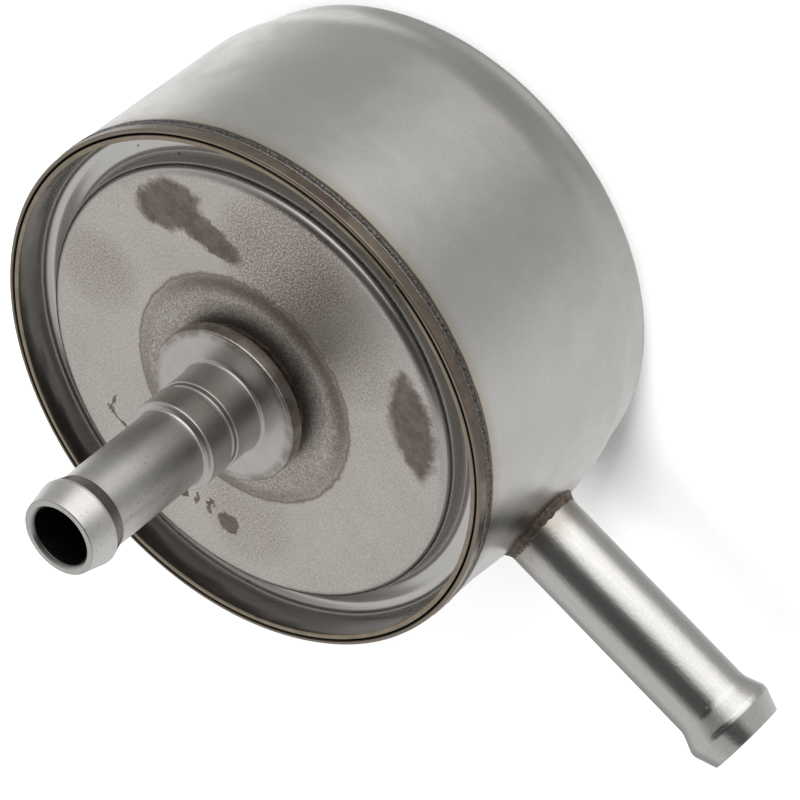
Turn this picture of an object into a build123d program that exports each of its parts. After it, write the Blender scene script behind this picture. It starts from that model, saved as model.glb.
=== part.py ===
from build123d import *
import math
import os

# In-line fuel filter: a drawn steel can closed by a dished cover that is seam
# welded inside its mouth. Fuel enters through the side pipe, passes inwards
# through a pleated element and leaves by the barbed spigot in the cover.
# Millimetres. The can's axis is +Z, its flat back rests on Z = 0 and the
# side pipe points along +X.

# Can
CAN_RADIUS = 27.5
CAN_HEIGHT = 29.2
CAN_WALL = 0.5
SHOULDER_HEIGHT = 5.2
SHOULDER_ROUND = 8.0
BASE_RADIUS = 26.4
BASE_TOP = 1.9
BASE_FLARE_ROUND = 5.0
BASE_EDGE_ROUND = 0.35
CUT_CLEARANCE = 1.0

# Swelling of the can wall around the side pipe
SWELL_HEIGHT = 0.45
SWELL_RADIUS = 20.0
SWELL_HALF_LENGTH = 9.5

# Cover
COVER_WALL = 0.55
COVER_FIT_GAP = 0.05
CHANNEL_DEPTH = 4.4
DISC_RADIUS = 23.2
DISC_RECESS = 1.0
MOUND_FOOT_RADIUS = 12.3
MOUND_TOP_RADIUS = 10.5
MOUND_RISE = 0.65
MOUND_ROUND = 2.0
SPIGOT_HOLE_GAP = 0.05
CHANNEL_OUTER_ROUND = 1.2
CHANNEL_INNER_ROUND = 0.9
DISC_EDGE_ROUND = 1.2

# Seam weld around the mouth
SEAM_DROP = 1.1
SEAM_WIDTH = 0.8
SEAM_PROUD = 0.14
SEAM_DEPTH = 0.3
TACK_RADIUS = 0.4
TACK_HEIGHT = 0.16
TACK_ANGLE = 80.0

# Outlet spigot, heights above the can's rim
SPIGOT_BORE = 3.0
SPIGOT_TAIL_RADIUS = 4.0
SPIGOT_TAIL_DEPTH = 5.2
FOOT_RADIUS = 6.6
COLLAR_RADIUS = 8.1
COLLAR_BACK = 0.7
COLLAR_FRONT = 2.3
STEP_RADIUS = 4.7
GROOVE_RADIUS = 4.2
GROOVE_START = 6.0
GROOVE_END = 6.8
STEP_END = 9.8
HOSE_RADIUS = 3.95
BARB_START = 21.8
BARB_CREST = 23.5
BARB_LAND = 0.25
BARB_RADIUS = 4.45
TIP_RADIUS = 3.87
TIP_HEIGHT = 26.1
TIP_BORE_CHAMFER = 0.3

# Side pipe
PIPE_RADIUS = 4.0
PIPE_BORE = 3.2
PIPE_HEIGHT = 13.6
PIPE_INNER_END = 26.0
PIPE_OUTER_END = 56.2
PIPE_HOLE_GAP = 0.05
BEAD_RADIUS = 4.75
BEAD_START = 4.5
BEAD_CREST = 2.3
BEAD_WALL = 0.75
WELD_ROOT = 2.0
WELD_LEG = 1.1
WELD_THROAT = 0.55

# Filter element, heights above the back of the can
CAP_RADIUS = 22.4
CAP_RIM_WALL = 0.5
CAP_PLATE = 0.6
LOWER_PLATE_BOTTOM = 4.7
LOWER_RIM_TOP = 8.5
LOWER_BOSS_RADIUS = 7.8
LOWER_BOSS_BOTTOM = 3.4
UPPER_PLATE_BOTTOM = 25.7
UPPER_RIM_BOTTOM = 22.0
UPPER_HOLE_RADIUS = 5.0
POTTING_DEPTH = 1.2
POTTING_GAP = 0.05
CORE_RADIUS = 8.2
CORE_WALL = 0.4
CORE_HOLE_RADIUS = 1.0
CORE_HOLES_AROUND = 10
CORE_HOLE_ROWS = 5
PLEATS = 36
PLEAT_OUTER = 21.4
PLEAT_INNER = 8.8
PAPER = 0.35
PLEAT_TIP_HALF = 1.9
PLEAT_ROOT_HALF = 3.7
CLIP_INNER_HALF = 0.8
CLIP_WALL = 0.3
CLIP_DEPTH = 2.6

# Outlet seal and element spring
SEAL_CLEARANCE = 0.05
SEAL_FLANGE_RADIUS = 6.4
SEAL_TOP_GAP = 0.05
SEAT_RADIUS = 11.0
SEAT_HOLE_RADIUS = 3.0
SEAT_SHEET = 0.5
SEAT_RIM_HEIGHT = 1.3
SPRING_WIRE = 0.9
SPRING_RADIUS = 9.3
SPRING_TURNS = 2.0
SPRING_END_GAP = 0.03

UP = Axis.Z
RIM = CAN_HEIGHT


def round_face(corners):
    """A face in the X-Z plane from corners (radius, height, corner round)."""
    outline = Plane.XZ * Polyline(*[(x, z) for x, z, _ in corners], close=True)
    face = make_face(outline)
    for x, z, size in corners:
        if size > 0:
            corner = face.vertices().sort_by_distance((x, 0, z))[0]
            face = fillet(corner, size)
    return face


def turned(corners):
    """A ring or solid of revolution about the can's axis."""
    return revolve(round_face(corners), UP)


def tube_ring(inner, outer, bottom, top):
    """A plain ring about the can's axis."""
    ring = Cylinder(outer, top - bottom) - Cylinder(inner, top - bottom)
    return Pos(0, 0, (bottom + top) / 2) * ring


def along_pipe(shape):
    """Turn a shape made about Z onto the side pipe's axis."""
    return Pos(0, 0, PIPE_HEIGHT) * Rot(0, 90, 0) * shape


def can_skin(inset):
    """The can's outside shape, taken in by an inset, as one solid."""
    wall = CAN_RADIUS - inset
    top = RIM + CUT_CLEARANCE if inset else RIM
    body = turned([
        (0, inset, 0),
        (BASE_RADIUS - inset, inset, BASE_EDGE_ROUND),
        (BASE_RADIUS - inset, BASE_TOP, BASE_FLARE_ROUND),
        (wall, SHOULDER_HEIGHT, SHOULDER_ROUND),
        (wall, top, 0),
        (0, top, 0),
    ])
    centre = CAN_RADIUS + SWELL_HEIGHT - SWELL_RADIUS
    radius = SWELL_RADIUS - inset
    low = PIPE_HEIGHT - SWELL_HALF_LENGTH
    high = PIPE_HEIGHT + SWELL_HALF_LENGTH
    edge = radius - SWELL_HEIGHT
    barrel = Plane.XZ * make_face([
        Line((0, low), (edge, low)),
        ThreePointArc((edge, low), (radius, PIPE_HEIGHT), (edge, high)),
        Line((edge, high), (0, high)),
        Line((0, high), (0, low)),
    ])
    swelling = Pos(centre, 0, 0) * revolve(barrel, UP)
    return body + swelling


def make_body_can():
    can = can_skin(0) - can_skin(CAN_WALL)
    groove_top = RIM - SEAM_DROP
    clear = CAN_RADIUS + CUT_CLEARANCE
    can -= tube_ring(CAN_RADIUS - SEAM_DEPTH, clear, groove_top - SEAM_WIDTH, groove_top)
    hole = Pos(0, 0, CAN_RADIUS) * Cylinder(PIPE_RADIUS + PIPE_HOLE_GAP, 12 * CAN_WALL)
    return can - along_pipe(hole)


def make_end_cover():
    sheet = COVER_WALL
    outer = CAN_RADIUS - CAN_WALL - COVER_FIT_GAP
    floor = RIM - CHANNEL_DEPTH
    disc = RIM - DISC_RECESS
    mound = disc + MOUND_RISE
    hole = SPIGOT_TAIL_RADIUS + SPIGOT_HOLE_GAP
    return turned([
        (outer, RIM, 0.1),
        (outer, floor - sheet, CHANNEL_OUTER_ROUND + sheet),
        (DISC_RADIUS - sheet, floor - sheet, CHANNEL_INNER_ROUND + 0.1),
        (DISC_RADIUS - sheet, disc - sheet, DISC_EDGE_ROUND - sheet),
        (MOUND_FOOT_RADIUS, disc - sheet, MOUND_ROUND + sheet),
        (MOUND_TOP_RADIUS, mound - sheet, MOUND_ROUND - sheet),
        (hole, mound - sheet, 0),
        (hole, mound, 0),
        (MOUND_TOP_RADIUS, mound, MOUND_ROUND),
        (MOUND_FOOT_RADIUS, disc, MOUND_ROUND),
        (DISC_RADIUS, disc, DISC_EDGE_ROUND),
        (DISC_RADIUS, floor, CHANNEL_INNER_ROUND),
        (outer - sheet, floor, CHANNEL_OUTER_ROUND),
        (outer - sheet, RIM, 0.1),
    ])


def make_seam_weld():
    top = RIM - SEAM_DROP
    bottom = top - SEAM_WIDTH
    inner = CAN_RADIUS - SEAM_DEPTH
    proud = CAN_RADIUS + SEAM_PROUD
    return turned([
        (inner, bottom, 0),
        (CAN_RADIUS, bottom, 0),
        (proud, bottom + 0.2, 0.15),
        (proud, top - 0.2, 0.15),
        (CAN_RADIUS, top, 0),
        (inner, top, 0),
    ])


def make_locating_tack():
    """A small drop of weld metal that bridges the two edges at the mouth."""
    dome_radius = (TACK_RADIUS ** 2 + TACK_HEIGHT ** 2) / (2 * TACK_HEIGHT)
    dome = Pos(0, 0, TACK_HEIGHT - dome_radius) * Sphere(dome_radius)
    keep = Pos(0, 0, TACK_HEIGHT / 2) * Cylinder(2 * TACK_RADIUS, TACK_HEIGHT)
    seat = CAN_RADIUS - CAN_WALL - COVER_FIT_GAP / 2
    return Rot(0, 0, TACK_ANGLE) * Pos(seat, 0, RIM) * (dome & keep)


def make_outlet_spigot():
    seat = RIM - DISC_RECESS + MOUND_RISE
    bore = SPIGOT_BORE
    return turned([
        (bore, seat - SPIGOT_TAIL_DEPTH, 0.2),
        (SPIGOT_TAIL_RADIUS, seat - SPIGOT_TAIL_DEPTH, 0.3),
        (SPIGOT_TAIL_RADIUS, seat, 0),
        (FOOT_RADIUS, seat, 0),
        (FOOT_RADIUS, RIM + COLLAR_BACK, 0.15),
        (COLLAR_RADIUS, RIM + COLLAR_BACK, 0.15),
        (COLLAR_RADIUS, RIM + COLLAR_FRONT, 0.3),
        (STEP_RADIUS, RIM + COLLAR_FRONT, 0.35),
        (STEP_RADIUS, RIM + GROOVE_START, 0.15),
        (GROOVE_RADIUS, RIM + GROOVE_START, 0.2),
        (GROOVE_RADIUS, RIM + GROOVE_END, 0.2),
        (STEP_RADIUS, RIM + GROOVE_END, 0.15),
        (STEP_RADIUS, RIM + STEP_END, 0.2),
        (HOSE_RADIUS, RIM + STEP_END, 0.35),
        (HOSE_RADIUS, RIM + BARB_START, 0.4),
        (BARB_RADIUS, RIM + BARB_CREST - BARB_LAND, 0.1),
        (BARB_RADIUS, RIM + BARB_CREST, 0.1),
        (TIP_RADIUS, RIM + TIP_HEIGHT, 0.15),
        (bore + TIP_BORE_CHAMFER, RIM + TIP_HEIGHT, 0),
        (bore, RIM + TIP_HEIGHT - TIP_BORE_CHAMFER, 0),
    ])


def make_spigot_weld():
    seat = RIM - DISC_RECESS + MOUND_RISE
    return turned([
        (FOOT_RADIUS, seat, 0),
        (FOOT_RADIUS + 0.95, seat, 0.12),
        (FOOT_RADIUS + 0.35, seat + 0.3, 0.2),
        (FOOT_RADIUS, seat + 0.7, 0),
    ])


def make_inlet_pipe():
    """A drawn tube whose mouth is rolled out into a hose bead."""
    crest = PIPE_OUTER_END - BEAD_CREST
    inner_crest = BEAD_RADIUS - BEAD_WALL
    profile = round_face([
        (PIPE_BORE, PIPE_INNER_END, 0),
        (PIPE_RADIUS, PIPE_INNER_END, 0.2),
        (PIPE_RADIUS, PIPE_OUTER_END - BEAD_START, 2.2),
        (BEAD_RADIUS, crest - 0.35, 0.8),
        (BEAD_RADIUS, crest + 0.15, 0.8),
        (PIPE_RADIUS, PIPE_OUTER_END, 0.1),
        (PIPE_BORE, PIPE_OUTER_END, 0.1),
        (inner_crest, crest + 0.15, 0.5),
        (inner_crest, crest - 0.35, 0.5),
        (PIPE_BORE, PIPE_OUTER_END - BEAD_START + 0.2, 1.5),
    ])
    return along_pipe(revolve(profile, UP))


def make_pipe_weld():
    """The fillet weld between pipe and can, shaped to the can's wall."""
    face = CAN_RADIUS + SWELL_HEIGHT
    bead = round_face([
        (PIPE_RADIUS, face - WELD_ROOT, 0),
        (PIPE_RADIUS + WELD_THROAT, face - WELD_ROOT, 0),
        (PIPE_RADIUS + WELD_THROAT, face, 0.2),
        (PIPE_RADIUS + WELD_THROAT / 2, face + WELD_LEG / 2, 0.3),
        (PIPE_RADIUS, face + WELD_LEG, 0),
    ])
    return along_pipe(revolve(bead, UP)) - can_skin(0)


def make_spring_seat():
    """A dished washer on the can's floor that keeps the spring central."""
    floor = CAN_WALL
    sheet = SEAT_SHEET
    return turned([
        (SEAT_HOLE_RADIUS, floor, 0),
        (SEAT_RADIUS, floor, sheet + 0.2),
        (SEAT_RADIUS, floor + SEAT_RIM_HEIGHT, 0),
        (SEAT_RADIUS - sheet, floor + SEAT_RIM_HEIGHT, 0),
        (SEAT_RADIUS - sheet, floor + sheet, 0.2),
        (SEAT_HOLE_RADIUS, floor + sheet, 0),
    ])


def make_element_spring():
    bottom = CAN_WALL + SEAT_SHEET + SPRING_END_GAP + SPRING_WIRE / 2
    top = LOWER_PLATE_BOTTOM - SPRING_END_GAP - SPRING_WIRE / 2
    height = top - bottom
    path = Helix(height / SPRING_TURNS, height, SPRING_RADIUS)
    section = Plane(path @ 0, z_dir=path % 0) * Circle(SPRING_WIRE / 2)
    return Pos(0, 0, bottom) * sweep(section, path)


def make_lower_end_cap():
    """The closed cap, with a pressed boss that centres the spring."""
    plate = CAP_PLATE
    base = LOWER_PLATE_BOTTOM
    boss = LOWER_BOSS_RADIUS
    return turned([
        (0, LOWER_BOSS_BOTTOM, 0),
        (boss, LOWER_BOSS_BOTTOM, 0.8),
        (boss, base, 0.2),
        (CAP_RADIUS, base, 0.8),
        (CAP_RADIUS, LOWER_RIM_TOP, 0.1),
        (CAP_RADIUS - CAP_RIM_WALL, LOWER_RIM_TOP, 0.1),
        (CAP_RADIUS - CAP_RIM_WALL, base + plate, 0),
        (boss - plate, base + plate, 0.6),
        (boss - plate, LOWER_BOSS_BOTTOM + plate, 0.2),
        (0, LOWER_BOSS_BOTTOM + plate, 0),
    ])


def make_upper_end_cap():
    """The open cap: the outlet seal sits in its centre hole."""
    plate = CAP_PLATE
    base = UPPER_PLATE_BOTTOM
    return turned([
        (UPPER_HOLE_RADIUS, base, 0),
        (CAP_RADIUS - CAP_RIM_WALL, base, 0),
        (CAP_RADIUS - CAP_RIM_WALL, UPPER_RIM_BOTTOM, 0.1),
        (CAP_RADIUS, UPPER_RIM_BOTTOM, 0.1),
        (CAP_RADIUS, base + plate, 0.8),
        (UPPER_HOLE_RADIUS, base + plate, 0),
    ])


def make_potting(bottom):
    """The ring of cured sealant that holds the pleats in an end cap."""
    inner = CORE_RADIUS + POTTING_GAP
    outer = CAP_RADIUS - CAP_RIM_WALL - POTTING_GAP
    return tube_ring(inner, outer, bottom, bottom + POTTING_DEPTH)


def polar(radius, degrees):
    angle = math.radians(degrees)
    return (radius * math.cos(angle), radius * math.sin(angle))


def make_pleated_media():
    """A star of paper pleats: outer and inner outlines of one folded sheet."""
    pitch = 360 / PLEATS
    outline = []
    core_side = []
    tip_inside = PLEAT_TIP_HALF - math.degrees(PAPER / PLEAT_OUTER)
    root_inside = PLEAT_ROOT_HALF - math.degrees(PAPER / PLEAT_INNER)
    for pleat in range(PLEATS):
        middle = pleat * pitch
        for side in (-1, 1):
            tip = polar(PLEAT_OUTER, middle + side * PLEAT_TIP_HALF)
            root = polar(PLEAT_INNER + PAPER, middle + side * PLEAT_ROOT_HALF)
            outline += [root, tip] if side < 0 else [tip, root]
            tip = polar(PLEAT_OUTER - PAPER, middle + side * tip_inside)
            root = polar(PLEAT_INNER, middle + side * root_inside)
            core_side += [root, tip] if side < 0 else [tip, root]
    paper = make_face(Polyline(*outline, close=True)) - make_face(Polyline(*core_side, close=True))
    bottom = LOWER_PLATE_BOTTOM + CAP_PLATE + POTTING_DEPTH
    top = UPPER_PLATE_BOTTOM - POTTING_DEPTH
    return Pos(0, 0, bottom) * extrude(paper, top - bottom)


def make_media_seam_clip():
    """A folded strip that pinches the pleat where the sheet's ends meet."""
    bottom = LOWER_PLATE_BOTTOM + CAP_PLATE + POTTING_DEPTH + 0.5
    top = UPPER_PLATE_BOTTOM - POTTING_DEPTH - 0.5
    inner_tip = PLEAT_OUTER + 0.05
    outer_tip = inner_tip + CLIP_WALL
    outer_half = CLIP_INNER_HALF + CLIP_WALL
    length = top - bottom
    block = Box(CLIP_DEPTH + CLIP_WALL, 2 * outer_half, length)
    slot = Pos(-CLIP_WALL, 0, 0) * Box(CLIP_DEPTH + CLIP_WALL, 2 * CLIP_INNER_HALF, length)
    centre = outer_tip - (CLIP_DEPTH + CLIP_WALL) / 2
    seam_angle = 180
    return Rot(0, 0, seam_angle) * Pos(centre, 0, (bottom + top) / 2) * (block - slot)


def make_core_tube():
    """The perforated tube that keeps the pleats from collapsing inwards."""
    bottom = LOWER_PLATE_BOTTOM + CAP_PLATE
    top = UPPER_PLATE_BOTTOM - POTTING_GAP
    core = tube_ring(CORE_RADIUS - CORE_WALL, CORE_RADIUS, bottom, top)
    row_pitch = (top - bottom) / (CORE_HOLE_ROWS + 1)
    punch = Rot(0, 90, 0) * Cylinder(CORE_HOLE_RADIUS, 4)
    punches = []
    for row in range(CORE_HOLE_ROWS):
        for place in range(CORE_HOLES_AROUND):
            turn = (place + row % 2 / 2) * 360 / CORE_HOLES_AROUND
            height = bottom + (row + 1) * row_pitch
            punches.append(Rot(0, 0, turn) * Pos(CORE_RADIUS, 0, height) * punch)
    return core - punches


def make_outlet_seal():
    """A rubber grommet: grooved into the upper cap, lipped on the spigot."""
    bore = SPIGOT_TAIL_RADIUS + SEAL_CLEARANCE
    cover_underside = RIM - DISC_RECESS + MOUND_RISE - COVER_WALL
    waist = UPPER_HOLE_RADIUS - 0.03
    plate_low = UPPER_PLATE_BOTTOM - 0.02
    plate_high = UPPER_PLATE_BOTTOM + CAP_PLATE + 0.02
    return turned([
        (bore, plate_low - 0.7, 0.2),
        (waist + 1.0, plate_low - 0.7, 0.3),
        (waist + 1.0, plate_low, 0),
        (waist, plate_low, 0),
        (waist, plate_high, 0),
        (SEAL_FLANGE_RADIUS, plate_high, 0),
        (SEAL_FLANGE_RADIUS, cover_underside - SEAL_TOP_GAP, 0.3),
        (bore, cover_underside - SEAL_TOP_GAP, 0.2),
    ])


def main():
    potting_top = UPPER_PLATE_BOTTOM - POTTING_DEPTH
    parts = {
        "body_can": make_body_can(),
        "end_cover": make_end_cover(),
        "seam_weld": make_seam_weld(),
        "locating_tack": make_locating_tack(),
        "outlet_spigot": make_outlet_spigot(),
        "spigot_weld": make_spigot_weld(),
        "inlet_pipe": make_inlet_pipe(),
        "pipe_weld": make_pipe_weld(),
        "spring_seat": make_spring_seat(),
        "element_spring": make_element_spring(),
        "lower_end_cap": make_lower_end_cap(),
        "lower_potting": make_potting(LOWER_PLATE_BOTTOM + CAP_PLATE),
        "pleated_media": make_pleated_media(),
        "media_seam_clip": make_media_seam_clip(),
        "core_tube": make_core_tube(),
        "upper_potting": make_potting(potting_top),
        "upper_end_cap": make_upper_end_cap(),
        "outlet_seal": make_outlet_seal(),
    }
    os.makedirs("parts", exist_ok=True)
    for name, shape in parts.items():
        shape.label = name
        export_step(shape, f"parts/{name}.step")


main()
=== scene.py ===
"""In-line fuel filter in stainless steel: a drawn can, a dished cover seam-welded
into its mouth, a turned outlet spigot and a side pipe with a rolled hose bead.

Lengths are millimetres until a mesh or a node is made, and then metres.
"""

import math

import bmesh
import bpy
from mathutils import Matrix, Vector, noise


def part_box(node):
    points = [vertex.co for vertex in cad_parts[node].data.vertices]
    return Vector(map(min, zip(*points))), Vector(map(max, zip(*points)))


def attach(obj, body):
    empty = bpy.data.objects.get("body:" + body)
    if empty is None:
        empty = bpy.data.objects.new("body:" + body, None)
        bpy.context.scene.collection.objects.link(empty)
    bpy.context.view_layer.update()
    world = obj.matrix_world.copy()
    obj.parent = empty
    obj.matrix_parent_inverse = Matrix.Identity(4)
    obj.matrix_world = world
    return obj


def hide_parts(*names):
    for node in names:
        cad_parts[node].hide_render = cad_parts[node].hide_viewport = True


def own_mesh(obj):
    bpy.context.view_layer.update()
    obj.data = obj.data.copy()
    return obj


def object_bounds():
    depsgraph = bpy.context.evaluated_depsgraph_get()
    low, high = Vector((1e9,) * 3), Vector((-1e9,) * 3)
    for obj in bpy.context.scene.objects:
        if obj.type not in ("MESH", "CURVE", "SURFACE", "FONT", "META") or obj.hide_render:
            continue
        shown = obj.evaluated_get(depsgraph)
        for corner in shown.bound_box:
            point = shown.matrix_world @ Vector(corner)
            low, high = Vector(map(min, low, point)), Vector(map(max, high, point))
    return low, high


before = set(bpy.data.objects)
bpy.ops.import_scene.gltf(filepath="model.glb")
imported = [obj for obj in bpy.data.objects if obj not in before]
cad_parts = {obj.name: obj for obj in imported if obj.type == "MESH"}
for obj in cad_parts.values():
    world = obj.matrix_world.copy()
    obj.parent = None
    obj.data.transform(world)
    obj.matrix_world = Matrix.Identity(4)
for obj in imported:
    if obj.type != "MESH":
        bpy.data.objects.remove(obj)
cad_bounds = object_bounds()

MM = 0.001
HOUSING = "housing"


def box_mm(node):
    """A CAD node's lowest and highest corners, in millimetres."""
    low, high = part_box(node)
    return Vector(low) / MM, Vector(high) / MM


# Driving sizes, read from the frame
CAN_RADIUS = -box_mm("body_can")[0].x
RIM = box_mm("body_can")[1].z
COVER_RADIUS = box_mm("end_cover")[1].x
SPIGOT_TOP = box_mm("outlet_spigot")[1].z
PIPE_END = box_mm("inlet_pipe")[1].x
PIPE_START = box_mm("inlet_pipe")[0].x
PIPE_HEIGHT = (box_mm("inlet_pipe")[0].z + box_mm("inlet_pipe")[1].z) / 2
WELD_TOP = box_mm("seam_weld")[1].z
WELD_BOTTOM = box_mm("seam_weld")[0].z

# Can
SHEET = 0.5
SWELL_HEIGHT = 0.45
SWELL_RADIUS = 20.0
SWELL_HALF_LENGTH = 9.5
SWELL_BLEND = 0.06
PIPE_HOLE_RADIUS = 4.05
DRILL_START = 20.0
DRILL_END = 32.0
# Odd, so that no vertex of the drill falls on one of the can's
DRILL_SIDES = 95
BASE_RADIUS = 26.4
BASE_TOP = 1.9
SHOULDER = 5.2

# Cover
COVER_SHEET = 0.55
CHANNEL_FLOOR = RIM - 4.4
FLANGE_INSIDE = COVER_RADIUS - COVER_SHEET
DISC = RIM - 1.0
DISC_RADIUS = 23.2
MOUND = DISC + 0.65
MOUND_FOOT = 12.3
MOUND_TOP = 10.5
MOUND_ROUND = 2.0
SPIGOT_HOLE_RADIUS = 4.05
TACK_ANGLE = math.radians(80.0)

# Pipe and spigot
PIPE_RADIUS = 4.0
PIPE_BORE = 3.2
BEAD_RADIUS = 4.75
BEAD_CREST = PIPE_END - 2.3
FOOT_RADIUS = 6.6
SPIGOT_BORE = 3.0

# Spring under the floating element
SPRING_WIRE = 0.9
SPRING_TURNS = 2
SPRING_STEPS = 180
SPRING_SIDES = 20

# Camera: where it looks from, in degrees and millimetres
VIEW_AZIMUTH = 84.0
VIEW_ELEVATION = 40.65
VIEW_ROLL = -130.2
VIEW_DISTANCE = 362.1
VIEW_AIM = Vector((10.85, 5.5, 20.0))
LENS = 174.4

TINY = 1e-4
ARC_STEPS = 7


# Outlines and meshes


def rounded(corners):
    """The closed outline through (radius, along) corners; a third number rounds a corner."""
    outline = []
    for index, corner in enumerate(corners):
        point = Vector(corner[:2])
        if len(corner) < 3:
            outline.append(point)
            continue
        back = (Vector(corners[index - 1][:2]) - point).normalized()
        ahead = (Vector(corners[(index + 1) % len(corners)][:2]) - point).normalized()
        half_angle = back.angle(ahead) / 2
        centre = point + (back + ahead).normalized() * corner[2] / math.sin(half_angle)
        start = back * corner[2] / math.tan(half_angle) + point - centre
        end = ahead * corner[2] / math.tan(half_angle) + point - centre
        for step in range(ARC_STEPS + 1):
            spoke = start.lerp(end, step / ARC_STEPS).normalized()
            outline.append(centre + spoke * corner[2])
    return outline


def divided(outline, longest):
    """The same closed outline with no run longer than this."""
    points = []
    for index, point in enumerate(outline):
        following = outline[(index + 1) % len(outline)]
        pieces = max(1, math.ceil((following - point).length / longest))
        for piece in range(pieces):
            points.append(point.lerp(following, piece / pieces))
    return points


def about_can(radius, along, angle):
    return Vector((radius * math.cos(angle), radius * math.sin(angle), along))


def about_pipe(radius, along, angle):
    return Vector((along, radius * math.cos(angle), radius * math.sin(angle) + PIPE_HEIGHT))


def join_rings(mesh, first, second):
    """Faces between two rings of vertices, where a ring of one vertex is a pole."""
    turns = max(len(first), len(second))
    if turns == 1:
        return
    for step in range(turns):
        following = (step + 1) % turns
        corners = [first[step % len(first)], first[following % len(first)]]
        corners += [second[following % len(second)], second[step % len(second)]]
        mesh.faces.new(list(dict.fromkeys(corners)))


def lathe(name, corners, segments, place=about_can, longest=0.5, warp=None, crease=35):
    """A closed solid of revolution, whose points may be moved by a warp."""
    mesh = bmesh.new()
    rings = []
    for radius, along in divided(rounded(corners), longest):
        ring = []
        for step in range(segments if radius > TINY else 1):
            point = place(radius, along, math.tau * step / segments)
            ring.append(mesh.verts.new((warp(point) if warp else point) * MM))
        rings.append(ring)
    for index, ring in enumerate(rings):
        join_rings(mesh, rings[index - 1], ring)
    return finished(name, mesh, crease)


def finished(name, mesh, crease):
    """A new object from a closed mesh, smooth but for its creases."""
    bmesh.ops.recalc_face_normals(mesh, faces=mesh.faces)
    data = bpy.data.meshes.new(name)
    mesh.to_mesh(data)
    mesh.free()
    smooth(data, crease)
    piece = bpy.data.objects.new(name, data)
    bpy.context.collection.objects.link(piece)
    return piece


def smooth(data, crease):
    """Smooth shading, with an edge left sharp where faces meet at more than crease degrees."""
    for face in data.polygons:
        face.use_smooth = True
    data.set_sharp_from_angle(angle=math.radians(crease))


def cut(piece, cutter):
    """Takes the cutter out of the piece for good."""
    modifier = piece.modifiers.new("cut", "BOOLEAN")
    modifier.object = cutter
    modifier.solver = "EXACT"
    bpy.context.view_layer.update()
    graph = bpy.context.evaluated_depsgraph_get()
    data = bpy.data.meshes.new_from_object(piece.evaluated_get(graph))
    piece.modifiers.clear()
    piece.data = data
    bpy.data.objects.remove(cutter)


def wave(point, size, seed):
    """Smooth noise from -1 to 1 whose bumps are about this size in mm."""
    return noise.noise(point / size + Vector((seed, seed, seed)))


def hand_over(piece, material, slot, *nodes):
    """Gives a finished piece its material and its place on the frame."""
    piece.data.materials.clear()
    piece.data.materials.append(material)
    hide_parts(*nodes)
    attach(piece, HOUSING)


# Procedural finishes


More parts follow.
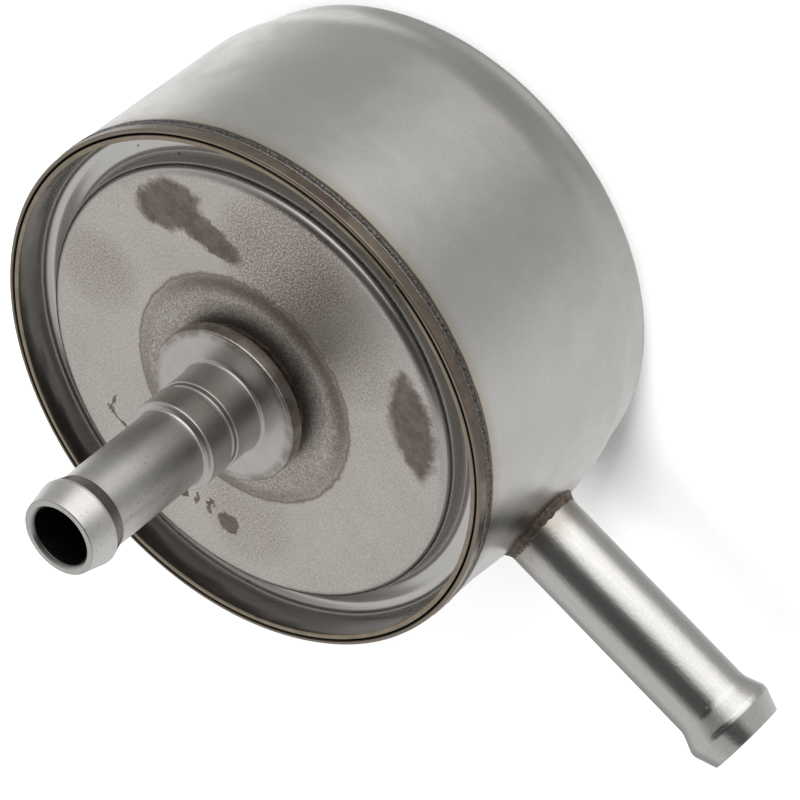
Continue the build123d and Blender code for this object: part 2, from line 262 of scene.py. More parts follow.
class Finish:
    """A Principled shader fed by nodes that measure the object in millimetres."""

    def __init__(self, name, metallic=1.0, roughness=0.4):
        self.material = bpy.data.materials.new(name)
        self.material.use_nodes = True
        self.tree = self.material.node_tree
        self.shader = self.tree.nodes["Principled BSDF"]
        self.shader.inputs["Metallic"].default_value = metallic
        self.shader.inputs["Roughness"].default_value = roughness
        metres = self.add("ShaderNodeTexCoord").outputs["Object"]
        self.place = self.vector("SCALE", metres, Scale=1 / MM)
        parts = self.add("ShaderNodeSeparateXYZ", Vector=self.place).outputs
        self.x, self.y, self.z = parts["X"], parts["Y"], parts["Z"]

    def add(self, kind, **inputs):
        node = self.tree.nodes.new(kind)
        for name, value in inputs.items():
            self.feed(node.inputs[name], value)
        return node

    def feed(self, socket, value):
        if isinstance(value, bpy.types.NodeSocket):
            self.tree.links.new(value, socket)
        elif socket.type == "RGBA":
            socket.default_value = (*value, 1.0)
        else:
            socket.default_value = value

    def math(self, operation, *values, clamp=False):
        node = self.add("ShaderNodeMath")
        node.operation = operation
        node.use_clamp = clamp
        for socket, value in zip(node.inputs, values):
            self.feed(socket, value)
        return node.outputs[0]

    def vector(self, operation, first, second=None, **inputs):
        node = self.add("ShaderNodeVectorMath")
        node.operation = operation
        self.feed(node.inputs[0], first)
        if second is not None:
            self.feed(node.inputs[1], second)
        for name, value in inputs.items():
            self.feed(node.inputs[name], value)
        return node.outputs["Value" if operation == "LENGTH" else "Vector"]

    def noise(self, size, detail=2.0, rough=0.5, stretch=(1, 1, 1)):
        """Smooth noise, 0 to 1, with bumps about this size in mm times the stretch."""
        squeezed = self.vector("DIVIDE", self.place, stretch)
        node = self.add("ShaderNodeTexNoise", Vector=squeezed, Scale=1 / size)
        self.feed(node.inputs["Detail"], detail)
        self.feed(node.inputs["Roughness"], rough)
        return node.outputs[0]

    def lines(self, along, size, detail=2.0):
        """Noise that changes only along one measure, as turning marks do."""
        node = self.tree.nodes.new("ShaderNodeTexNoise")
        node.noise_dimensions = "1D"
        self.feed(node.inputs["W"], along)
        self.feed(node.inputs["Scale"], 1 / size)
        self.feed(node.inputs["Detail"], detail)
        return node.outputs[0]

    def fade(self, value, start, end):
        """0 at start rising softly to 1 at end, which may be the lower of the two."""
        node = self.add("ShaderNodeMapRange", Value=value)
        node.interpolation_type = "SMOOTHSTEP"
        self.feed(node.inputs["From Min"], start)
        self.feed(node.inputs["From Max"], end)
        return node.outputs[0]

    def spread(self, value, low, high):
        """A 0 to 1 value spread between two numbers."""
        node = self.add("ShaderNodeMapRange", Value=value)
        self.feed(node.inputs["To Min"], low)
        self.feed(node.inputs["To Max"], high)
        return node.outputs[0]

    def band(self, value, start, end, soft):
        """1 between start and end, fading out over soft mm on both sides."""
        rise = self.fade(value, start - soft, start + soft)
        fall = self.fade(value, end + soft, end - soft)
        return self.math("MULTIPLY", rise, fall)

    def both(self, *masks):
        product = masks[0]
        for mask in masks[1:]:
            product = self.math("MULTIPLY", product, mask)
        return product

    def either(self, *masks):
        largest = masks[0]
        for mask in masks[1:]:
            largest = self.math("MAXIMUM", largest, mask)
        return largest

    def mix(self, factor, first, second):
        node = self.tree.nodes.new("ShaderNodeMix")
        node.data_type = "RGBA"
        self.feed(node.inputs[0], factor)
        self.feed(node.inputs[6], first)
        self.feed(node.inputs[7], second)
        return node.outputs[2]

    def shaded(self, colour, factor):
        """The colour made lighter or darker."""
        return self.vector("SCALE", colour, Scale=factor)

    def near(self, centre, out, full):
        """A soft round patch: 1 within full mm of a point of the cover, 0 beyond out mm."""
        flat = self.add("ShaderNodeCombineXYZ", X=self.x, Y=self.y).outputs[0]
        away = self.vector("LENGTH", self.vector("SUBTRACT", flat, (*centre, 0.0)))
        return self.fade(away, out, full)

    def from_can_axis(self):
        flat = self.add("ShaderNodeCombineXYZ", X=self.x, Y=self.y).outputs[0]
        return self.vector("LENGTH", flat)

    def from_pipe_axis(self):
        height = self.math("SUBTRACT", self.z, PIPE_HEIGHT)
        across = self.add("ShaderNodeCombineXYZ", Y=self.y, Z=height).outputs[0]
        return self.vector("LENGTH", across)

    def bump(self, height, depth, strength=1.0):
        """Raises the surface by a 0 to 1 height times depth, in mm."""
        node = self.add("ShaderNodeBump", Height=height, Strength=strength, Distance=depth * MM)
        if self.shader.inputs["Normal"].links:
            earlier = self.shader.inputs["Normal"].links[0].from_socket
            self.feed(node.inputs["Normal"], earlier)
        self.feed(self.shader.inputs["Normal"], node.outputs[0])

    def paint(self, colour, roughness=None):
        self.feed(self.shader.inputs["Base Color"], colour)
        if roughness is not None:
            self.feed(self.shader.inputs["Roughness"], roughness)
        return self.material


# Colours that several finishes share
BROWN = (0.13, 0.095, 0.075)
# Black for scale crumbs, and painted shade in the narrow space between can and cover
SCALE_AND_GAP_SHADE_BLACK = (0.035, 0.03, 0.028)

# Dried stains on the disc, as (centre, length, width, turn in degrees, blunt)
STAINS = [
    ((-16.1, 10.8), 7.8, 5.2, 58.0, 2.0),
    ((-12.0, 11.6), 9.0, 3.2, 8.0, 2.0),
    ((14.4, 13.5), 12.0, 4.8, -47.0, 1.2),
    ((7.0, -15.7), 2.5, 2.3, 0.0, 2.0),
    ((4.6, -16.0), 0.7, 2.0, 20.0, 2.0),
    ((3.2, -16.7), 0.6, 1.8, 20.0, 2.0),
    ((1.8, -17.3), 0.6, 1.6, 20.0, 2.0),
    ((-8.0, -16.7), 3.0, 0.4, -16.0, 2.0),
    ((-9.0, -15.6), 0.4, 2.2, 20.0, 2.0),
]

# Freckled patches on the disc, as (centre, gone by, full to, strength)
FRECKLED = [
    ((-4.0, 16.5), 11.0, 4.0, 1.0),
    ((-18.0, -3.0), 8.0, 2.0, 0.7),
    ((6.0, 14.0), 9.0, 3.0, 0.6),
    ((8.0, -13.0), 9.0, 3.0, 0.6),
]
NEAR_SPIGOT_FRECKLES = 0.7
LEAST_FRECKLES = 0.3


def can_steel():
    """Satin drawn steel with a cloudy sheen, heat-tinted at the mouth and round the pipe."""
    f = Finish("can_steel")
    colour = f.mix(f.noise(9.0, 4.0, 0.6), (0.45, 0.438, 0.418), (0.56, 0.55, 0.53))
    colour = f.shaded(colour, f.spread(f.noise(0.4, 3.0, 0.6), 0.93, 1.07))
    wander = f.spread(f.noise(2.5, 3.0), -0.12, 0.12)
    height = f.math("ADD", f.z, wander)
    straw = f.fade(height, WELD_BOTTOM - 1.8, WELD_BOTTOM)
    colour = f.mix(f.both(straw, 0.6), colour, (0.40, 0.34, 0.25))
    burn = f.band(height, WELD_BOTTOM - 0.22, WELD_BOTTOM + 0.1, 0.10)
    colour = f.mix(burn, colour, BROWN)
    mouth = f.fade(height, WELD_TOP - 0.15, WELD_TOP)
    cloud = f.fade(f.noise(12.0, 3.0), 0.4, 0.6)
    tint = f.mix(cloud, (0.125, 0.092, 0.080), (0.205, 0.170, 0.132))
    tint = f.shaded(tint, f.spread(f.noise(0.8, 4.0, 0.6), 0.6, 1.25))
    colour = f.mix(mouth, colour, tint)
    edge = f.band(f.z, RIM - 0.12, RIM + 0.1, 0.06)
    colour = f.mix(f.both(edge, 0.8), colour, (0.30, 0.255, 0.205))
    # Painted shade: the can's inside wall below the rim is blackened where the narrow space beside
    # the cover's flange lies in shade
    seam = f.fade(f.from_can_axis(), CAN_RADIUS - SHEET + 0.2, CAN_RADIUS - SHEET + 0.1)
    colour = f.mix(f.both(seam, f.fade(f.z, RIM - 1.2, RIM - 0.8)), colour, SCALE_AND_GAP_SHADE_BLACK)
    reach = f.math("ADD", f.from_pipe_axis(), f.spread(f.noise(1.2, 3.0), -0.5, 0.5))
    scorch = f.both(f.fade(reach, 6.4, 4.2), f.fade(f.x, 20.0, 24.0))
    colour = f.mix(f.both(scorch, 0.75), colour, (0.16, 0.12, 0.10))
    rough = f.spread(f.noise(3.0, 4.0), 0.25, 0.34)
    rubs = f.fade(f.noise(5.0, 4.0, 0.65), 0.42, 0.66)
    rough = f.math("ADD", rough, f.spread(rubs, -0.02, 0.05))
    f.bump(f.noise(0.3, 3.0, 0.6), 0.012, 0.5)
    f.bump(f.noise(4.0, 1.0), 0.10, 0.4)
    return f.paint(colour, rough)


def stain(f, centre, length, width, turn, blunt):
    """A 0 to 1 mask of one stain; blunt 2 is an ellipse and 1 a lens with pointed ends."""
    ragged = f.add("ShaderNodeTexNoise", Vector=f.place, Scale=0.9, Detail=6.0, Roughness=0.7)
    shift = f.vector("SUBTRACT", ragged.outputs["Color"], (0.5, 0.5, 0.5))
    shift = f.vector("SCALE", shift, Scale=2.2)
    point = f.vector("ADD", f.place, shift)
    mapping = f.add("ShaderNodeMapping", Vector=point)
    mapping.vector_type = "TEXTURE"
    f.feed(mapping.inputs["Location"], (*centre, 0.0))
    f.feed(mapping.inputs["Rotation"], (0.0, 0.0, math.radians(turn)))
    f.feed(mapping.inputs["Scale"], (length / 2, width / 2, 1.0))
    parts = f.add("ShaderNodeSeparateXYZ", Vector=mapping.outputs[0]).outputs
    lengthwise = f.math("POWER", f.math("ABSOLUTE", parts["X"]), 2.0)
    across = f.math("POWER", f.math("ABSOLUTE", parts["Y"]), blunt)
    reach = f.math("ADD", lengthwise, across)
    return f.fade(reach, 1.3, 0.7)


def rust_speckle(f, radius):
    """How strongly fine rusty freckles show: thick near the spigot, patchy on the disc."""
    near_spigot = f.both(f.fade(radius, 12.6, 11.8), NEAR_SPIGOT_FRECKLES)
    patches = [f.both(f.near(centre, out, full), much) for centre, out, full, much in FRECKLED]
    cloudy = f.spread(f.noise(5.0, 3.0), 0.55, 1.2)
    return f.both(f.either(near_spigot, *patches, LEAST_FRECKLES), cloudy)


def disc_steel(f, radius, grain):
    """The disc's colour: freckled steel, dried stains and a brown ring round the mound, with
    painted shade on its slope towards +Y.
    """
    disc = f.mix(f.noise(7.0, 4.0), (0.58, 0.545, 0.508), (0.71, 0.675, 0.635))
    disc = f.shaded(disc, f.spread(grain, 0.72, 1.28))
    flecks = f.fade(f.noise(0.2, 2.0, 0.8), 0.44, 0.54)
    rust = rust_speckle(f, radius)
    speckle = f.both(flecks, rust)
    disc = f.mix(speckle, disc, (0.235, 0.18, 0.148))
    disc = f.mix(f.both(rust, 0.25), disc, (0.33, 0.27, 0.225))
    wander = f.math("ADD", radius, f.spread(f.noise(0.9, 4.0, 0.6), -0.35, 0.35))
    # Painted shade: the mound's slope is darkened all round with the brown ring, and darker still
    # towards +Y
    shady_side = f.fade(f.y, -2.0, 9.0)
    slope = f.both(f.band(wander, 10.9, 12.2, 0.6), f.spread(shady_side, 0.25, 0.75))
    line = f.both(f.band(wander, 12.05, 12.35, 0.2), 0.8)
    disc = f.mix(f.either(line, slope), disc, (0.15, 0.108, 0.082))
    stains = f.either(*[stain(f, *shape) for shape in STAINS])
    crumbs = f.both(
        f.fade(f.noise(0.45, 3.0, 0.7), 0.60, 0.65),
        f.band(radius, 8.3, 9.6, 0.5),
        f.near((2.5, -9.0), 5.0, 3.0),
    )
    disc = f.mix(crumbs, disc, SCALE_AND_GAP_SHADE_BLACK)
    blotchy = f.fade(f.noise(1.2, 4.0, 0.7), 0.35, 0.65)
    dried = f.mix(blotchy, (0.095, 0.073, 0.058), (0.18, 0.142, 0.115))
    dried = f.shaded(dried, f.spread(grain, 0.75, 1.25))
    return f.mix(f.both(stains, f.spread(grain, 0.75, 1.0)), disc, dried)


def cover_steel():
    """Pressed steel: a freckled disc with dried stains, a clean channel and a heat-tinted flange,
    with painted shade on the flange's inner wall and at its outer edge.
    """
    f = Finish("cover_steel")
    radius = f.from_can_axis()
    on_disc = f.both(f.fade(radius, 22.9, 22.4), f.fade(f.z, DISC - 0.35, DISC - 0.1))
    grain = f.noise(0.24, 3.0, 0.75)
    clean = f.mix(f.noise(3.0, 4.0), (0.58, 0.565, 0.545), (0.64, 0.625, 0.605))
    spots = f.fade(f.noise(1.0, 2.0), 0.74, 0.78)
    clean = f.mix(spots, clean, (0.12, 0.10, 0.09))
    colour = f.mix(on_disc, clean, disc_steel(f, radius, grain))
    on_flange = f.fade(radius, 25.6, 26.1)
    # The flange's inner wall above the channel is darkened: heat tint, and painted shade from the
    # deep channel
    wall = f.both(on_flange, f.fade(f.z, CHANNEL_FLOOR + 0.8, CHANNEL_FLOOR + 1.6))
    streaks = f.noise(0.9, 1.0, 0.5, (6, 6, 1))
    heat_tint_and_shade = f.mix(streaks, (0.28, 0.27, 0.255), (0.36, 0.345, 0.325))
    colour = f.mix(wall, colour, heat_tint_and_shade)
    lip = f.both(f.fade(f.z, RIM - 0.3, RIM - 0.12), on_flange)
    lip_tone = f.shaded((0.32, 0.27, 0.205), f.spread(f.noise(1.5, 4.0), 0.6, 1.3))
    colour = f.mix(lip, colour, lip_tone)
    # Painted shade: the flange's outer face next to the can is blackened where the narrow space
    # between them lies in shade
    gap = f.fade(radius, COVER_RADIUS - 0.13, COVER_RADIUS - 0.05)
    colour = f.mix(gap, colour, SCALE_AND_GAP_SHADE_BLACK)
    channel_rough = f.spread(f.noise(3.0, 4.0), 0.16, 0.26)
    disc_rough = f.spread(f.noise(1.5, 4.0), 0.27, 0.38)
    burnt_mound = f.fade(radius, 11.6, 10.4)
    disc_rough = f.math("ADD", disc_rough, f.both(burnt_mound, 0.16))
    f.bump(f.both(grain, on_disc), 0.03, 0.6)
    return f.paint(colour, f.mix(on_disc, channel_rough, disc_rough))


def seam_weld_steel():
    """Dark, pitted wheel-weld bead with paler edges."""
    f = Finish("seam_weld")
    middle = (WELD_TOP + WELD_BOTTOM) / 2
    wander = f.spread(f.noise(0.7, 3.0), -0.05, 0.05)
    off_centre = f.math("ABSOLUTE", f.math("SUBTRACT", f.math("ADD", f.z, wander), middle))
    pits = f.noise(0.2, 3.0, 0.7)
    colour = f.mix(f.fade(pits, 0.4, 0.64), (0.045, 0.042, 0.04), (0.19, 0.18, 0.17))
    edges = f.band(off_centre, 0.28, 0.36, 0.05)
    patchy = f.spread(f.noise(2.0, 4.0, 0.6), 0.3, 1.0)
    colour = f.mix(f.both(edges, patchy), colour, (0.40, 0.37, 0.33))
    f.bump(pits, 0.05, 0.8)
    return f.paint(colour, f.spread(pits, 0.58, 0.34))


def turned_steel():
    """Machined steel with fine turning marks, brown weld heat at the foot and painted shade under
    the collar.
    """
    f = Finish("turned_steel")
    colour = f.mix(f.noise(3.0, 4.0), (0.50, 0.485, 0.465), (0.63, 0.615, 0.59))
    marks = f.lines(f.z, 0.16, 3.0)
    colour = f.shaded(colour, f.spread(marks, 0.93, 1.07))
    satin = f.noise(0.25, 3.0, 0.7, (1, 1, 3))
    colour = f.shaded(colour, f.spread(satin, 0.90, 1.10))
    radius = f.from_can_axis()
    collar = f.fade(f.z, RIM + 2.9, RIM + 2.2)
    blotch = f.fade(f.noise(1.6, 4.0, 0.6), 0.36, 0.62)
    rim_burn = f.both(collar, f.fade(radius, 7.0, 7.7), f.spread(blotch, 0.25, 0.7))
    colour = f.mix(rim_burn, colour, (0.22, 0.17, 0.135))
    # Painted shade: the collar's underside and the foot beneath it are darkened brown
    under = f.fade(f.z, RIM + 0.85, RIM + 0.65)
    colour = f.mix(under, colour, (0.22, 0.175, 0.145))
    step = f.band(f.z, RIM + 2.2, RIM + 9.8, 0.1)
    colour = f.mix(f.both(step, blotch, 0.1), colour, (0.30, 0.24, 0.20))
    specks = f.both(f.fade(f.noise(0.35, 2.0), 0.64, 0.72), f.fade(f.noise(4.0, 3.0), 0.45, 0.6))
    colour = f.mix(f.both(specks, 0.55), colour, (0.20, 0.175, 0.155))
    # Painted shade inside the spigot's hole
    bore = f.fade(radius, SPIGOT_BORE + 0.25, SPIGOT_BORE + 0.05)
    colour = f.mix(bore, colour, (0.20, 0.19, 0.18))
    f.bump(marks, 0.014, 0.7)
    f.bump(satin, 0.014, 0.6)
    return f.paint(colour, f.spread(f.noise(1.4, 3.0), 0.26, 0.36))


def pipe_steel():
    """Polished tube with faint lengthwise drawing lines, tinted brown next to its weld."""
    f = Finish("pipe_steel")
    colour = f.mix(f.noise(4.0, 3.0, 0.5, (4, 1, 1)), (0.54, 0.53, 0.51), (0.66, 0.645, 0.62))
    colour = f.shaded(colour, f.spread(f.noise(0.3, 3.0, 0.7), 0.90, 1.10))
    streaks = f.noise(0.22, 3.0, 0.6, (30, 1, 1))
    colour = f.shaded(colour, f.spread(streaks, 0.93, 1.07))
    near_weld = f.math("ADD", f.x, f.spread(f.noise(1.0, 4.0), -1.1, 1.1))
    heat = f.fade(near_weld, 31.6, 28.6)
    colour = f.mix(f.both(heat, 0.55), colour, (0.29, 0.235, 0.18))
    # Painted shade inside the pipe's hole
    inside = f.fade(f.from_pipe_axis(), PIPE_BORE + 0.35, PIPE_BORE + 0.05)
    colour = f.mix(f.both(inside, 0.6), colour, (0.20, 0.18, 0.165))
    f.bump(streaks, 0.010, 0.6)
    f.bump(f.noise(0.35, 3.0, 0.6), 0.022, 0.6)
    f.bump(f.noise(1.6, 2.0, 0.5, (2, 1, 1)), 0.035, 0.4)
    pits = f.fade(f.noise(0.6, 2.0), 0.77, 0.82)
    colour = f.mix(f.both(pits, 0.6), colour, (0.22, 0.20, 0.18))
    f.bump(pits, -0.03)
    return f.paint(colour, f.spread(f.noise(1.0, 4.0, 0.6, (3, 1, 1)), 0.15, 0.26))


def brown_weld():
    """Burnt, lumpy weld metal, paler where it thins out along the pipe."""
    f = Finish("brown_weld")
    lumps = f.noise(0.4, 4.0, 0.7)
    colour = f.mix(f.fade(lumps, 0.3, 0.7), (0.080, 0.062, 0.053), (0.22, 0.175, 0.145))
    thin = f.both(f.fade(f.x, CAN_RADIUS + 0.9, CAN_RADIUS + 1.5), f.fade(lumps, 0.42, 0.55))
    colour = f.mix(thin, colour, (0.42, 0.37, 0.28))
    f.bump(lumps, 0.07, 0.8)
    return f.paint(colour, f.spread(lumps, 0.58, 0.42))


def spring_steel():
    """Dull drawn spring wire."""
    f = Finish("spring_steel")
    streaks = f.noise(0.2, 3.0)
    colour = f.mix(streaks, (0.30, 0.295, 0.29), (0.42, 0.41, 0.40))
    f.bump(streaks, 0.01)
    return f.paint(colour, f.spread(streaks, 0.28, 0.4))


def cap_steel():
    """Tinned pressed sheet with a soft spangle."""
    f = Finish("cap_steel")
    spangle = f.noise(2.0, 4.0, 0.6)
    colour = f.mix(spangle, (0.48, 0.48, 0.47), (0.62, 0.62, 0.61))
    f.bump(f.noise(0.5, 3.0), 0.015)
    return f.paint(colour, f.spread(spangle, 0.28, 0.45))


def potting():
    """Cured amber sealant with small voids."""
    f = Finish("potting", metallic=0.0)
    voids = f.fade(f.noise(0.6, 3.0), 0.56, 0.66)
    colour = f.mix(f.noise(4.0, 3.0), (0.36, 0.20, 0.08), (0.48, 0.29, 0.13))
    colour = f.mix(voids, colour, (0.20, 0.11, 0.05))
    f.bump(voids, -0.1)
    return f.paint(colour, f.spread(f.noise(1.0), 0.35, 0.5))


def filter_paper():
    """Resin-treated paper with felted fibres."""
    f = Finish("filter_paper", metallic=0.0)
    fibres = f.noise(0.25, 4.0, 0.7, (1, 1, 3))
    colour = f.mix(fibres, (0.62, 0.50, 0.30), (0.82, 0.72, 0.50))
    colour = f.mix(f.noise(5.0, 3.0), colour, (0.66, 0.53, 0.33))
    f.bump(fibres, 0.04)
    return f.paint(colour, f.spread(fibres, 0.8, 0.95))


def seal_rubber():
    """Matt black moulded rubber."""
    f = Finish("seal_rubber", metallic=0.0)
    bloom = f.noise(1.2, 4.0)
    colour = f.mix(bloom, (0.014, 0.014, 0.015), (0.035, 0.034, 0.033))
    f.bump(f.noise(0.3, 3.0), 0.015)
    return f.paint(colour, f.spread(bloom, 0.55, 0.75))


def pale_floor():
    """Plain white studio floor."""
    f = Finish("pale_floor", metallic=0.0)
    return f.paint(f.mix(f.noise(40.0, 2.0), (0.88, 0.88, 0.88), (0.90, 0.90, 0.90)), 0.9)


# Pieces


def swollen(point):
    """Moves a point of the can's wall out to the shallow swelling round the side pipe."""
    radius = math.hypot(point.x, point.y)
    lift = (point.z - PIPE_HEIGHT) / SWELL_HALF_LENGTH
    if radius < CAN_RADIUS - 2 * SHEET or abs(lift) > 1.3:
        return point
    barrel = SWELL_RADIUS - SWELL_HEIGHT * lift**2
    centre = CAN_RADIUS + SWELL_HEIGHT - SWELL_RADIUS
    away = centre * point.y / radius
    if abs(away) >= barrel or point.x < 0:
        return point
    proud = centre * point.x / radius + math.sqrt(barrel**2 - away**2) - CAN_RADIUS
    eased = (proud + math.hypot(proud, SWELL_BLEND)) / 2
    if proud < -4 * SWELL_BLEND:
        return point
    outward = Vector((point.x, point.y, 0)) / radius
    return point + outward * eased


def dented(point):
    """The drawn wall: very shallow long waves, and the swelling."""
    out = Vector((point.x, point.y, 0))
    if out.length > CAN_RADIUS - 2 * SHEET:
        point = point + out.normalized() * 0.03 * wave(point, 9.0, 3.0)
    return swollen(point)


def build_can():
    corners = [
        (0, 0),
        (BASE_RADIUS, 0, 0.35),
        (BASE_RADIUS, BASE_TOP, 5.0),
        (CAN_RADIUS, SHOULDER, 8.0),
        (CAN_RADIUS, WELD_BOTTOM),
        (CAN_RADIUS - 0.3, WELD_BOTTOM),
        (CAN_RADIUS - 0.3, WELD_TOP),
        (CAN_RADIUS, WELD_TOP),
        (CAN_RADIUS, RIM, 0.17),
        (CAN_RADIUS - SHEET, RIM, 0.22),
        (CAN_RADIUS - SHEET, SHOULDER, 8.0),
        (BASE_RADIUS - SHEET, BASE_TOP, 5.0),
        (BASE_RADIUS - SHEET, SHEET, 0.2),
        (0, SHEET),
    ]
    can = lathe("can_wall", corners, 480, longest=0.7, warp=dented)
    drill = [
        (0, DRILL_START),
        (PIPE_HOLE_RADIUS, DRILL_START),
        (PIPE_HOLE_RADIUS, DRILL_END),
        (0, DRILL_END),
    ]
    cut(can, lathe("drill", drill, DRILL_SIDES, place=about_pipe, longest=20.0))
    smooth(can.data, 35)
    hand_over(can, can_steel(), "can_steel", "body_can")


def rippled(point):
    """The cover's welded flange, drawn into small waves, and its slightly uneven disc."""
    radius = math.hypot(point.x, point.y)
    out = Vector((point.x, point.y, 0)) / max(radius, TINY)
    if radius > 25.0 and point.z > CHANNEL_FLOOR + 1.0:
        fading = min(1.0, (RIM - point.z) / 1.0) * min(1.0, (point.z - CHANNEL_FLOOR - 1.0) / 0.8)
        flat = Vector((point.x, point.y, point.z * 3.0))
        return point + out * 0.07 * fading * wave(flat, 4.0, 7.0)
    return point + Vector((0, 0, 0.02 * wave(point, 6.0, 1.0)))


def build_cover():
    under = COVER_SHEET
    corners = [
        (COVER_RADIUS, RIM, 0.2),
        (COVER_RADIUS, CHANNEL_FLOOR - under, 1.75),
        (DISC_RADIUS - under, CHANNEL_FLOOR - under, 1.0),
        (DISC_RADIUS - under, DISC - under, 0.65),
        (MOUND_FOOT, DISC - under, MOUND_ROUND + under),
        (MOUND_TOP, MOUND - under, MOUND_ROUND - under),
        (SPIGOT_HOLE_RADIUS, MOUND - under),
        (SPIGOT_HOLE_RADIUS, MOUND),
        (MOUND_TOP, MOUND, MOUND_ROUND),
        (MOUND_FOOT, DISC, MOUND_ROUND),
        (DISC_RADIUS, DISC, 1.2),
        (DISC_RADIUS, CHANNEL_FLOOR, 0.9),
        (FLANGE_INSIDE, CHANNEL_FLOOR, 1.2),
        (FLANGE_INSIDE, RIM, 0.1),
    ]
    cover = lathe("cover", corners, 500, longest=0.5, warp=rippled)
    hand_over(cover, cover_steel(), "cover_steel", "end_cover")


def pitted(point):
    """The seam bead: fine ripples across it, and a slightly wandering width."""
    out = Vector((point.x, point.y, 0)).normalized()
    rough = 0.03 * wave(point, 0.35, 2.0) + 0.03 * wave(point, 1.8, 5.0)
    return point + out * rough + Vector((0, 0, 0.025 * wave(point, 1.1, 9.0)))


def build_seam_weld(material):
    corners = [
        (CAN_RADIUS - 0.28, WELD_BOTTOM + 0.04),
        (CAN_RADIUS + 0.01, WELD_BOTTOM + 0.02, 0.03),
        (CAN_RADIUS + 0.08, WELD_BOTTOM + 0.16, 0.08),
        (CAN_RADIUS + 0.03, (WELD_BOTTOM + WELD_TOP) / 2, 0.3),
        (CAN_RADIUS + 0.08, WELD_TOP - 0.16, 0.08),
        (CAN_RADIUS + 0.01, WELD_TOP - 0.02, 0.03),
        (CAN_RADIUS - 0.28, WELD_TOP - 0.04),
    ]
    bead = lathe("seam_bead", corners, 1200, longest=0.09, warp=pitted, crease=70)
    hand_over(bead, material, "seam_weld", "seam_weld")


def build_tack(material):
    """A small frozen drop of weld metal across the two edges of the mouth."""
    seat = about_can((CAN_RADIUS + COVER_RADIUS - SHEET) / 2, RIM, TACK_ANGLE)

    def drop(point):
        lump = 1.0 + 0.25 * wave(point, 0.3, 4.0)
        return seat + Vector((point.x * lump, point.y * lump, point.z))

    corners = [(0, -0.2), (0.34, -0.2, 0.05), (0.34, 0.02, 0.06), (0.2, 0.14, 0.08), (0, 0.15)]
    tack = lathe("tack", corners, 40, longest=0.05, warp=drop, crease=80)
    hand_over(tack, material, "seam_weld", "locating_tack")


def build_spigot():
    corners = [
        (SPIGOT_BORE, 23.65, 0.2),
        (4.0, 23.65, 0.3),
        (4.0, MOUND),
        (FOOT_RADIUS, MOUND),
        (FOOT_RADIUS, RIM + 0.7, 0.15),
        (8.1, RIM + 0.7, 0.15),
        (8.1, RIM + 2.3, 0.3),
        (4.7, RIM + 2.3, 0.35),
        (4.7, RIM + 6.0, 0.15),
        (4.2, RIM + 6.0, 0.2),
        (4.2, RIM + 6.8, 0.2),
        (4.7, RIM + 6.8, 0.15),
        (4.7, RIM + 9.8, 0.2),
        (3.95, RIM + 9.8, 0.35),
        (3.95, RIM + 21.8, 0.4),
        (4.45, RIM + 23.25, 0.1),
        (4.45, RIM + 23.5, 0.1),
        (3.87, SPIGOT_TOP, 0.15),
        (SPIGOT_BORE + 0.3, SPIGOT_TOP, 0.05),
        (SPIGOT_BORE, SPIGOT_TOP - 0.3, 0.1),
    ]
    spigot = lathe("spigot", corners, 256, longest=0.6)
    hand_over(spigot, turned_steel(), "turned_steel", "outlet_spigot")


def build_spigot_weld(material):
    """The ring of brazed-looking weld under the spigot's collar."""

    def lumpy(point):
        out = Vector((point.x, point.y, 0)).normalized()
        return point + out * 0.14 * wave(point, 1.1, 6.0)

    corners = [
        (FOOT_RADIUS - 0.3, MOUND - 0.05),
        (FOOT_RADIUS + 0.9, MOUND - 0.05, 0.05),
        (FOOT_RADIUS + 0.4, MOUND + 0.28, 0.2),
        (FOOT_RADIUS + 0.02, MOUND + 0.75, 0.05),
        (FOOT_RADIUS - 0.3, MOUND + 0.75),
    ]
    weld = lathe("spigot_weld_bead", corners, 360, longest=0.12, warp=lumpy, crease=70)
    hand_over(weld, material, "brown_weld", "spigot_weld")


def build_pipe():
    """The side pipe, its mouth rolled out into a hose bead and drawn in again."""

    def drawn(point):
        around = Vector((0, point.y, point.z - PIPE_HEIGHT)).normalized()
        return point + around * 0.012 * wave(Vector((point.x / 4, point.y, point.z)), 1.5, 8.0)

    inner_crest = BEAD_RADIUS - 0.75
    corners = [
        (PIPE_BORE, PIPE_START),
        (PIPE_RADIUS, PIPE_START, 0.2),
        (PIPE_RADIUS, PIPE_END - 4.5, 2.2),
        (BEAD_RADIUS, BEAD_CREST - 0.35, 0.8),
        (BEAD_RADIUS, BEAD_CREST + 0.15, 0.8),
        (PIPE_RADIUS, PIPE_END, 0.12),
        (PIPE_BORE, PIPE_END, 0.12),
        (inner_crest, BEAD_CREST + 0.15, 0.5),
        (inner_crest, BEAD_CREST - 0.35, 0.5),
        (PIPE_BORE, PIPE_END - 4.3, 1.5),
    ]
    pipe = lathe("side_pipe", corners, 256, place=about_pipe, longest=0.6, warp=drawn)
    hand_over(pipe, pipe_steel(), "pipe_steel", "inlet_pipe")


